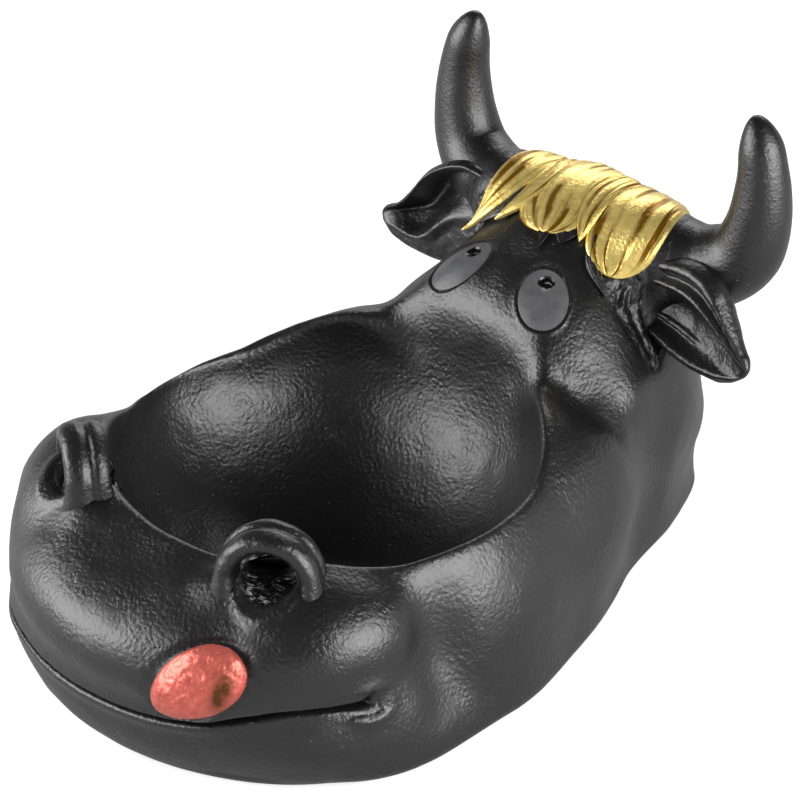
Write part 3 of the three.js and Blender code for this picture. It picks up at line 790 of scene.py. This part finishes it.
def trough_relief(points):
    """The troughs are crumpled and wet with gloss, and a soft lip stands round them"""
    across, along, over = trough_place(points)
    ring = np.where(np.abs(over) < 7, np.hypot(across / TROUGH_HALF[0], along / TROUGH_HALF[1]), FAR)
    inside = np.clip(1.1 - ring, 0, 1)
    crumple = lumps(points, 2.4, 5) + 0.8 * np.abs(lumps(points, 1.5, 9))
    rise = CRUMPLE * crumple * smooth_step(inside, 0.05, 0.4) + TROUGH_FILL * smooth_step(inside, 0.2, 0.7)
    soft_lip = TROUGH_LIP * ridge(ring, 1.3, 0.16) * smooth_step(along, -2, 3)
    return rise + soft_lip, smooth_step(inside, 0, 0.25)


def fold_relief(points):
    """Thin folds of clay wind down between the forelock and each ear"""
    folded = folded_over(points)
    rise = np.zeros(len(points))
    between_folds = np.zeros(len(points))
    for fold, height in zip(EAR_FOLDS, FOLD_HEIGHTS):
        far, _ = near_curve(folded, fold, 4)
        rise += height * ridge(far, 0, 0.5) - FOLD_VALLEY * ridge(far, 1.4, 0.6)
        between_folds = np.maximum(between_folds, ridge(far, 0, 3))
    return rise + FOLD_LUMPS * between_folds * lumps(points, 0.9, 21)


def neck_relief(points):
    """The neck stands over the right cheek in a short crease behind the bowl"""
    far, nearest = near_curve(points, NECK_CREASE, 9)
    behind = points[:, 1] - NECK_CREASE[nearest, 1]
    return NECK_STEP * np.tanh(behind / 0.9) * ridge(far, 0, 4.5)


def hand_relief(points):
    """Slow dents in the hand-modelled clay, and the places that were pressed"""
    rise = SLOW_DENT * lumps(points, 9, 1) + SMALL_DENT * lumps(points, 4, 3)
    for place, size, height in PRESSED:
        rise += height * ridge(np.linalg.norm(points - place, axis=1), 0, size)
    return rise


head = closed_form(76, 52, head_guide)
move_to(head, even_out(head, points_of(head), 24, head_field))
for rounds, field in ((4, head_field), (2, head_with_troughs)):
    bmesh.ops.subdivide_edges(head, edges=head.edges, cuts=1, use_grid_fill=True)
    head.verts.index_update()
    move_to(head, even_out(head, points_of(head), rounds, field))
for wanted in FINE_PLACES:
    refine(head, wanted, head_with_troughs)

points = points_of(head)
skin_out = unit(slope_of(head_with_troughs, points))
rise, lip_slide = mouth_relief(points, skin_out)
rise += tongue_relief(points) + eye_relief(points)
trough_rise, wet = trough_relief(points)
rise += trough_rise + fold_relief(points) + neck_relief(points)
rise += fillet(from_horn(points)[1]) + hand_relief(points)
off_foot = smooth_step(points[:, 2], *ABOVE_FOOT)
points += (skin_out * rise[:, None] + lip_slide) * off_foot[:, None]
points[:, 2] = np.where(points[:, 2] < FLAT_UP_TO, 0, points[:, 2])
move_to(head, points)
finish_piece("cast_head", head, BLACK, "black_lacquer", "head", {"wet": wet})


# Horns

def add_pair(kind, bm, material, slot, node):
    other = mirrored(bm)
    finish_piece("right_" + kind, bm, material, slot, "right_" + node)
    finish_piece("left_" + kind, other, material, slot, "left_" + node)


ROOT_SHARE = 0.05


def horn_place(share, turn):
    """Rows crowd towards the tip, and the first ones close the root inside the head"""
    root = np.clip(share / ROOT_SHARE, 0, 1)
    way = np.sin(np.clip((share - ROOT_SHARE) / (1 - ROOT_SHARE), 0, 1) * math.pi / 2)
    radius = horn_radius(way) * np.sin(root * math.pi / 2)
    return horn_path.at(way, radius * np.cos(turn), radius * np.sin(turn))


horn = closed_form(56, 130, horn_place)
points = points_of(horn)
away, _ = from_horn(points)
points += (0.12 * lumps(points, 6, 31) + fillet(head_field(points)))[:, None] * away
move_to(horn, points)
add_pair("curved_horn", horn, SMOOTH_BLACK, "black_lacquer", "horn")


# Ears: cupped leaves with a thick rolled rim and a blunt tip, and a rib down the right one's cup

ear_root = skin_along((0, SKULL_Y + 5, CROWN_Z - 2), (1, 0, 0))
EAR_LENGTH, EAR_LEAN, EAR_DROOP, EAR_HALF_WIDTH = 25.4, 3.0, 7.2, 9.7

# Shares of the length, lean and droop from an ear's root to its tip
EAR_STEPS = [(0.23, 0.47, 0.06), (0.55, 0.8, 0.33), (0.82, 0.93, 0.72), (0.97, 1, 0.97)]
ear_path = Path(
    [ear_root + (-7.5, 0, 0)]
    + [ear_root + (a * EAR_LENGTH, -b * EAR_LEAN, -c * EAR_DROOP) for a, b, c in EAR_STEPS],
    (0, 0.15, 1),
)

# Shares of the half width, and of the depth of the cup, along each ear
right_ear_upper = profile([
    (0, 0.6), (0.22, 0.9), (0.43, 1.1), (0.59, 0.96), (0.74, 0.6), (0.89, 0.32), (1, 0.2),
])
left_ear_upper = profile([
    (0, 0.9), (0.22, 1.14), (0.37, 1.2), (0.54, 0.95), (0.71, 0.5), (0.83, 0.28), (0.93, 0.25), (1, 0.2),
])
ear_lower = profile([
    (0, 0.8), (0.22, 1.05), (0.45, 1.26), (0.65, 1.16), (0.82, 0.86), (0.92, 0.54), (1, 0.24),
])
right_ear_cup = profile([
    (0, 0.4), (0.14, 0.8), (0.3, 1.05), (0.5, 1.1), (0.72, 0.8), (0.86, 0.35), (0.95, 0.1), (1, 0),
])
left_ear_cup = profile([
    (0, 0), (0.15, 0.2), (0.3, 0.5), (0.48, 0.95), (0.65, 1.1), (0.8, 0.75), (0.9, 0.25), (1, 0),
])

# The front of an ear from its lower edge to its upper one: a rim, the cup and higher folds
right_ear_front = profile([
    (-1, -4.4), (-0.88, -2.6), (-0.78, -0.5), (-0.7, 0.5), (-0.61, 0.2), (-0.5, -1.8), (-0.38, -2.9),
    (-0.15, -3.7), (0.06, -3.6), (0.2, -2.5), (0.3, -0.8), (0.38, 0.6), (0.46, 0.9), (0.53, 0.3),
    (0.59, -0.5), (0.64, -0.4), (0.73, 0.5), (0.82, 0.8), (0.92, 0.3), (1, -1.0),
])
left_ear_front = profile([
    (-1, -3.6), (-0.86, -1.9), (-0.66, -1.2), (-0.46, -1.0), (-0.34, -0.2), (-0.26, 0.0), (-0.14, -1.2),
    (0.08, -3.8), (0.4, -5.4), (0.62, -4.4), (0.74, -1.4), (0.82, 0.4), (0.9, 0.9), (1, -0.4),
])

# How far the folds run up or down the ear from root to tip
right_ear_bend = profile([(0, 0), (1, 0)])
left_ear_bend = profile([(0, 0.3), (0.3, 0.3), (0.5, 0.08), (0.72, -0.3), (0.88, -0.15), (1, 0)])
BACK_DEPTH, BACK_BULGE, EDGE_BULGE, RIM_HALF_THICKNESS = 1.7, 3.6, 3.2, 1.1
EAR_CLOSING = 0.07


def ear_form(upper, ear_cup, ear_front, bend, rib_height):
    def place(share, turn):
        closing = np.sqrt(1 - (1 - np.clip(np.minimum(share, 1 - share) / EAR_CLOSING, 0, 1)) ** 2)
        spread = power(np.cos(turn), 0.9)
        face = power(np.sin(turn), 0.7)
        half_width = EAR_HALF_WIDTH * np.where(spread > 0, upper(share), ear_lower(share))
        opening = ear_cup(share)
        front = ear_front(spread - bend(share) * (1 - spread ** 2)) * opening
        rib = rib_height * ridge(spread, -0.38, 0.028)
        front += rib * smooth_step(share, 0.05, 0.15) * (1 - smooth_step(share, 0.5, 0.65))
        thick_edge = EDGE_BULGE * smooth_step(-spread, 0.3, 1)
        behind = (-BACK_DEPTH - BACK_BULGE * np.sqrt(1 - spread ** 2) - thick_edge) * opening
        depth = np.where(face > 0, front, behind) + RIM_HALF_THICKNESS * face * closing
        return ear_path.at(share, depth, half_width * spread * closing)

    ear = closed_form(200, 120, place)
    points = points_of(ear)
    points[:, 1] += 0.16 * lumps(points, 2.2, 41)
    move_to(ear, points)
    return ear


right_ear = ear_form(right_ear_upper, right_ear_cup, right_ear_front, right_ear_bend, 0.9)
finish_piece("right_cupped_ear", right_ear, BLACK, "black_lacquer", "right_ear")
left_ear = mirrored(ear_form(left_ear_upper, left_ear_cup, left_ear_front, left_ear_bend, 0))
finish_piece("left_cupped_ear", left_ear, BLACK, "black_lacquer", "left_ear")


# Loops that hold a cigarette over each nostril

loop_across = np.array((math.cos(LOOP_TOE_OUT), math.sin(LOOP_TOE_OUT), 0))
loop_axis = np.array((math.sin(LOOP_TOE_OUT), -math.cos(LOOP_TOE_OUT), 0))
loop_reach = (LOOP_OPENING + LOOP_THICKNESS) / 2
arch = [
    loop_foot - loop_across * loop_reach * math.cos(turn) + (0, 0, LOOP_HEIGHT * math.sin(turn))
    for turn in np.linspace(0, math.pi, 13)
]
let_in = np.array((0, 0, 3))
loop_path = Path([arch[0] - let_in] + arch + [arch[-1] - let_in], loop_axis)
STRAP_GROOVE, FOOT_SHARE, FOOT_FLARE = 0.7, 0.3, 0.22


def loop_place(share, turn):
    """A strap with a groove worn round its outside, so that it reads as two cords side by side"""
    way = 0.5 - 0.5 * np.cos(math.pi * share)
    closing = np.sqrt(np.clip(np.minimum(share, 1 - share) * 16, 0, 1))
    foot = np.maximum(0, np.abs(2 * way - 1) - (1 - FOOT_SHARE)) / FOOT_SHARE
    flare = 1 + FOOT_FLARE * foot
    along = power(np.cos(turn), 0.75) * LOOP_WIDTH / 2 * flare
    outside = np.sin(turn) < 0
    groove = STRAP_GROOVE * ridge(along, -0.5, 0.9) * outside * (1 - 0.3 * foot)
    over = (power(np.sin(turn), 0.85) * LOOP_THICKNESS / 2 * flare + groove) * closing
    return loop_path.at(way, over, along * closing)


loop = closed_form(84, 110, loop_place)
points = points_of(loop)
points += 0.16 * np.stack([lumps(points, 3, 51), lumps(points, 3, 53), lumps(points, 3, 55)], axis=1)
move_to(loop, points)
add_pair("grooved_loop", loop, BLACK, "black_lacquer", "cigarette_loop")


# Eyes: smooth ovals set flush in their grooves, with a sunk pupil that holds a drop of gloss

PUPIL_RADIUS = 1.75
PUPIL_DEPTH = 0.55
PUPIL_UP = 0.5 * EYE_HALF_HEIGHT
EYE_HALF_THICKNESS = 1.2


def eye_form(patch, pupil_across):
    def place(share, turn):
        tilt = math.pi * (share - 0.5)
        ring = np.abs(np.cos(tilt)) ** 0.4
        across = EYE_HALF_WIDTH * ring * np.cos(turn)
        up = EYE_HALF_HEIGHT * ring * np.sin(turn)
        start = patch.at(across, up, np.zeros(len(up)))
        settled = settle(settle(start, head_field)[0], head_field)[0]
        level = patch.place_of(settled)[2]
        from_pupil = np.hypot(across - pupil_across, up - PUPIL_UP)
        sunk = PUPIL_DEPTH * (1 - smooth_step(from_pupil, PUPIL_RADIUS - 0.35, PUPIL_RADIUS + 0.05))
        drop = 0.2 * np.exp(-(np.hypot(across - pupil_across - 0.3, up - PUPIL_UP + 0.45) / 0.75) ** 4)
        dome = 0.02 + 0.8 * np.cos(np.clip(ring, 0, 1) * math.pi / 2)
        bulge = EYE_HALF_THICKNESS * np.sin(tilt)
        top = np.minimum(bulge, dome) - sunk + drop
        return patch.at(across, up, level + np.where(tilt > 0, top, bulge))

    return closed_form(110, 90, place)


for side, patch, pupil_across in (("right", right_eye, 0.6), ("left", left_eye, -0.3)):
    eye = eye_form(patch, pupil_across)
    across, up, _ = patch.place_of(points_of(eye))
    pupil_mark = PUPIL_RADIUS + 0.5 - np.hypot(across - pupil_across, up - PUPIL_UP)
    finish_piece(side + "_oval_eye", eye, CHARCOAL, "eye_lacquer", side + "_eye", {"pupil": pupil_mark})


# Tongue: a lumpy egg of clay that licks the upper lip from the mouth

def tongue_place(share, turn):
    tilt = math.pi * (share - 0.5)
    ring = np.abs(np.cos(tilt)) ** 0.75
    across = TONGUE_HALF_WIDTH * ring * np.cos(turn)
    up = TONGUE_HALF_HEIGHT * ring * np.sin(turn) * (1 + 0.16 * np.cos(turn))
    return tongue_patch.at(across, up, TONGUE_HALF_THICKNESS * np.sin(tilt) - (across ** 2 + up ** 2) / 90)


tongue = closed_form(120, 90, tongue_place)
points = points_of(tongue)
bumps = 0.45 * lumps(points, 4.2, 2) + 0.22 * np.abs(lumps(points, 1.8, 4)) + 0.14 * lumps(points, 0.8, 6)
points += bumps[:, None] * tongue_patch.out
move_to(tongue, points)
across, up, _ = tongue_patch.place_of(points)
along_patch = 0.75 * (across - 4.2) + 0.66 * (up + 2.6)
over_patch = 0.66 * (across - 4.2) - 0.75 * (up + 2.6)
worn = ridge(along_patch, 0, 4) * ridge(over_patch, 0.4, 1.5)
finish_piece("licking_tongue", tongue, RED, "red_lacquer", "tongue", {"worn": 2.6 * worn})


# Forelock: locks laid over the crown, each by its root, bend and tip in plan from the crown's middle

LOCK_LAYER = 0.5


def lock_noise(spread, share, seed):
    """Two random values over a lock, stretched along it"""
    places = np.stack([2.2 * spread, 1.3 * share, 0 * share + seed], axis=1)
    return lumps(places, 1.0, 61), lumps(places, 0.6, 63)


def lock_form(root, bend, tip, half_width, thickness, ridges, seed, point, tip_lift, columns=150, rows=120):
    """A lock and its marks. Point says how soon it narrows: about 1 is a sharp tip, and 5 is a round end."""
    plan = smooth_path([root, bend, tip], 9)
    rests = []
    for step, (x, y) in enumerate(plan):
        on_skin = skin_along((x, CROWN_Y + y, SKULL_CORE_Z), (0, 0, 1))
        over = LOCK_LAYER + tip_lift * (step / (len(plan) - 1)) ** 3
        rests.append(settle(on_skin[None], head_field, over)[0][0])
    rests = np.array(rests)
    line = smooth_path(rests)
    outs = unit(smooth_path(unit(slope_of(head_field, rests))))
    side = unit(np.cross(unit(np.gradient(line, axis=0)), outs))
    bluntness = 0.95 if point < 2 else 0.55
    marks = {}

    def place(share, turn):
        spread = power(np.cos(turn), 0.9)
        closing = np.sqrt(1 - (1 - np.clip(share / 0.12, 0, 1)) ** 2)
        narrow = np.maximum(1 - share ** (1.6 * point), 0) ** bluntness
        widening = 0.72 + 0.28 * np.sin(np.minimum(share * 1.5, 1) * math.pi / 2)
        across = half_width * narrow * widening * closing * spread
        thin = closing * np.maximum(1 - share ** 5, 0) ** 0.5

        wander = 0.5 * np.sin(2.2 * share * math.pi + seed) + 0.35 * np.sin(5.1 * share * math.pi + 2 * seed)
        bent, uneven = lock_noise(spread, share, seed)
        _, strand = lock_noise(9 * spread, 0.8 * share, seed + 7)
        sweep = (spread * 0.5 + 0.5) * ridges * FULL_TURN + wander + 3.2 * bent
        crest = np.abs(np.cos(sweep / 2))
        depth = 0.5 + 0.4 * np.sin(3.3 * spread + 2.7 * share * math.pi + 3 * seed) + 0.7 * uneven
        depth = np.clip(depth, 0, 1)
        on_top = np.clip(np.sin(turn) * 3, 0, 1) * thin
        relief = ((0.05 + 0.3 * depth) * (crest - 0.6) + 0.16 * strand) * on_top
        # The groove mark is painted shade: strongest down between the ridges and where the relief is deepest,
        # weaker where strands rise
        marks["groove"] = np.clip(1.1 - 1.4 * crest - 0.8 * strand, 0, 1) * (0.15 + 0.85 * depth)

        start = at_share(line, share) + at_share(side, share) * across[:, None]
        hugged, out = settle(start, head_field, LOCK_LAYER)
        bend_down = ((hugged - start) * out).sum(axis=1) * (1 - 0.8 * (tip_lift > 0) * share ** 2)
        over = thickness * thin * power(np.sin(turn), 0.8) + relief
        return start + out * (bend_down + over)[:, None]

    return closed_form(columns, rows, place), marks


# Root, bend, tip, half width, half thickness, ridges, seed, point, tip lift
LOCKS = {
    "forelock_middle": ((-1, 7), (-1.5, -5), (2, -16.5), 9.5, 1.2, 4.5, 0.4, 3.6, 0.0),
    "forelock_right": ((13, 8), (15.5, -4), (16.5, -14.2), 8.8, 1.3, 4.0, 1.9, 3.2, 0.3),
    "forelock_left": ((-13, 6), (-15, -5), (-18.6, -16.6), 6.5, 1.1, 3.0, 3.1, 1.0, 3.0),
    "forelock_left_tip": ((-8, 5), (-7, -7), (-11, -16), 4.6, 1.1, 2.0, 4.0, 1.1, 0.8),
    "forelock_small": ((7, 6), (6.5, -6), (9.0, -14.2), 3.6, 1.3, 2.0, 5.2, 1.8, 0.5),
}
for node, numbers in LOCKS.items():
    lock, marks = lock_form(*numbers)
    finish_piece("gilt_" + node, lock, GOLD, "gold_lacquer", node, marks)

# Short ends of hair: four in plain black show under the gilding, and a gilt one lies at the side
HAIR_ENDS = {
    "black_lock_middle": ((0, -11), (1.2, -15), (3.2, -19.4), 2.0, 0.3, 1.0, 0.2, 1.3, 0.0),
    "black_lock_stub": ((4.5, -10), (5.2, -13), (6.0, -16.6), 3.4, 0.25, 1.4, 1.2, 1.6, 0.0),
    "black_lock_right": ((11, -10), (13.5, -15), (18.6, -17.2), 2.2, 0.7, 1.5, 2.2, 1.1, 0.0),
    "black_lock_left": ((-9, -8), (-11.5, -11.5), (-16.5, -14.5), 2.6, 0.6, 1.4, 3.2, 1.2, 0.5),
    "gilt_lock_side": ((15.5, 6), (18.6, 5), (21.0, 3.6), 3.2, 0.9, 1.5, 0.9, 1.1, 0.0),
}
for name, numbers in HAIR_ENDS.items():
    lock, marks = lock_form(*numbers, columns=64, rows=60)
    lacquer = (GOLD, "gold_lacquer") if name.startswith("gilt") else (BLACK, "black_lacquer")
    finish_piece(name, lock, *lacquer, marks=marks)


# Floor, light and camera

WHITE = (1, 1, 1, 1)
PALE_GREY = (0.44, 0.44, 0.44, 1)
FLOOR_HALF = 3
AMBIENT_STRENGTH = 0.2

# How much the paper glows for the camera on top of what its gloss shows
CAMERA_GLOW, GLOSS_GLOW = 0.5, 0.2


def stage_material():
    """Matt white paper that looks white to the camera and in gloss, and keeps the shadow"""
    material = bpy.data.materials.new("white_paper")
    material.use_nodes = True
    tree = material.node_tree
    tree.nodes.clear()
    rays = add_node(tree, "ShaderNodeLightPath")
    seen = add_node(tree, "ShaderNodeMath", {
        0: rays.outputs["Is Camera Ray"], 1: rays.outputs["Is Glossy Ray"],
    }, operation="MAXIMUM")
    strength = add_node(tree, "ShaderNodeMath", {
        0: rays.outputs["Is Camera Ray"], 1: CAMERA_GLOW, 2: GLOSS_GLOW,
    }, operation="MULTIPLY_ADD")
    glow = add_node(tree, "ShaderNodeEmission", {"Color": WHITE, "Strength": strength.outputs[0]})
    dark = add_node(tree, "ShaderNodeEmission", {"Color": WHITE, "Strength": 0.0})
    only_seen = add_node(tree, "ShaderNodeMixShader", {
        0: seen.outputs[0], 1: dark.outputs[0], 2: glow.outputs[0],
    })
    paper = add_node(tree, "ShaderNodeBsdfDiffuse", {"Color": PALE_GREY})
    both = add_node(tree, "ShaderNodeAddShader", {0: only_seen.outputs[0], 1: paper.outputs[0]})
    add_node(tree, "ShaderNodeOutputMaterial", {"Surface": both.outputs[0]})
    return material


floor_bm = bmesh.new()
bmesh.ops.create_grid(floor_bm, x_segments=1, y_segments=1, size=FLOOR_HALF)
floor_mesh = bpy.data.meshes.new("paper_floor")
floor_bm.to_mesh(floor_mesh)
floor_bm.free()
floor_mesh.materials.append(stage_material())
floor = bpy.data.objects.new("paper_floor", floor_mesh)
bpy.context.scene.collection.objects.link(floor)

world = bpy.data.worlds.new("white_tent")
bpy.context.scene.world = world
world.use_nodes = True
tree = world.node_tree
tree.nodes.clear()
rays = add_node(tree, "ShaderNodeLightPath")
gloss_or_glass = add_node(tree, "ShaderNodeMath", {
    0: rays.outputs["Is Glossy Ray"], 1: rays.outputs["Is Transmission Ray"],
}, operation="MAXIMUM")
direction = add_node(tree, "ShaderNodeTexCoord")
upward = add_node(tree, "ShaderNodeSeparateXYZ", {0: direction.outputs["Generated"]})
wall = add_node(tree, "ShaderNodeMapRange", {
    "Value": upward.outputs["Z"], "From Min": 0.04, "From Max": 0.34, "To Min": 1.0, "To Max": 0.05,
}, interpolation_type="SMOOTHSTEP")
ambient = add_node(tree, "ShaderNodeBackground", {"Color": WHITE, "Strength": AMBIENT_STRENGTH})
studio = add_node(tree, "ShaderNodeBackground", {"Color": WHITE, "Strength": wall.outputs[0]})
white = add_node(tree, "ShaderNodeBackground", {"Color": WHITE, "Strength": 1.0})
mirrored_world = add_node(tree, "ShaderNodeMixShader", {
    0: gloss_or_glass.outputs[0], 1: ambient.outputs[0], 2: studio.outputs[0],
})
mix = add_node(tree, "ShaderNodeMixShader", {
    0: rays.outputs["Is Camera Ray"], 1: mirrored_world.outputs[0], 2: white.outputs[0],
})
add_node(tree, "ShaderNodeOutputWorld", {"Surface": mix.outputs[0]})

CAMERA_TURN, CAMERA_RISE = math.radians(44), math.radians(30)
rightward = Vector((math.cos(CAMERA_TURN), math.sin(CAMERA_TURN), 0))
forward = Vector((-math.sin(CAMERA_TURN), math.cos(CAMERA_TURN), 0))

# Soft lights: metres to the right of the object, behind it as the camera sees it and up, then width, height
# and watts
SOFTBOXES = {
    "left_softbox": (-0.56, -0.07, 0.24, 0.62, 0.4, 6.0),
    "right_softbox": (0.48, -0.36, 0.24, 0.52, 0.42, 6.6),
    "rear_softbox": (0.14, 0.5, 0.38, 0.45, 0.26, 1.3),
}
LIT_POINT = Vector((0, 0, 0.04))
for name, (right, ahead, height, width, tall, watts) in SOFTBOXES.items():
    light = bpy.data.lights.new(name, "AREA")
    light.shape = "RECTANGLE"
    light.size = width
    light.size_y = tall
    light.energy = watts
    lamp = bpy.data.objects.new(name, light)
    lamp.location = rightward * right + forward * ahead + Vector((0, 0, height))
    lamp.rotation_mode = "QUATERNION"
    lamp.rotation_quaternion = (LIT_POINT - lamp.location).to_track_quat("-Z", "Y")
    bpy.context.scene.collection.objects.link(lamp)

CAMERA_TARGET = Vector((-10, 14.5, 31.5)) * MM
CAMERA_DISTANCE = 618 * MM
SENSOR_WIDTH, FOCAL_LENGTH = 36, 139.05
camera = bpy.data.objects.new("camera", bpy.data.cameras.new("camera"))
camera.data.sensor_width = SENSOR_WIDTH
camera.data.lens = FOCAL_LENGTH
back = Vector((
    math.sin(CAMERA_TURN) * math.cos(CAMERA_RISE), -math.cos(CAMERA_TURN) * math.cos(CAMERA_RISE),
    math.sin(CAMERA_RISE),
))
camera.location = CAMERA_TARGET + back * CAMERA_DISTANCE
camera.rotation_mode = "QUATERNION"
camera.rotation_quaternion = (-back).to_track_quat("-Z", "Y")
camera.data.clip_start, camera.data.clip_end = 0.01, 20
bpy.context.scene.collection.objects.link(camera)
bpy.context.scene.camera = camera
bpy.context.scene.view_settings.view_transform = "Standard"
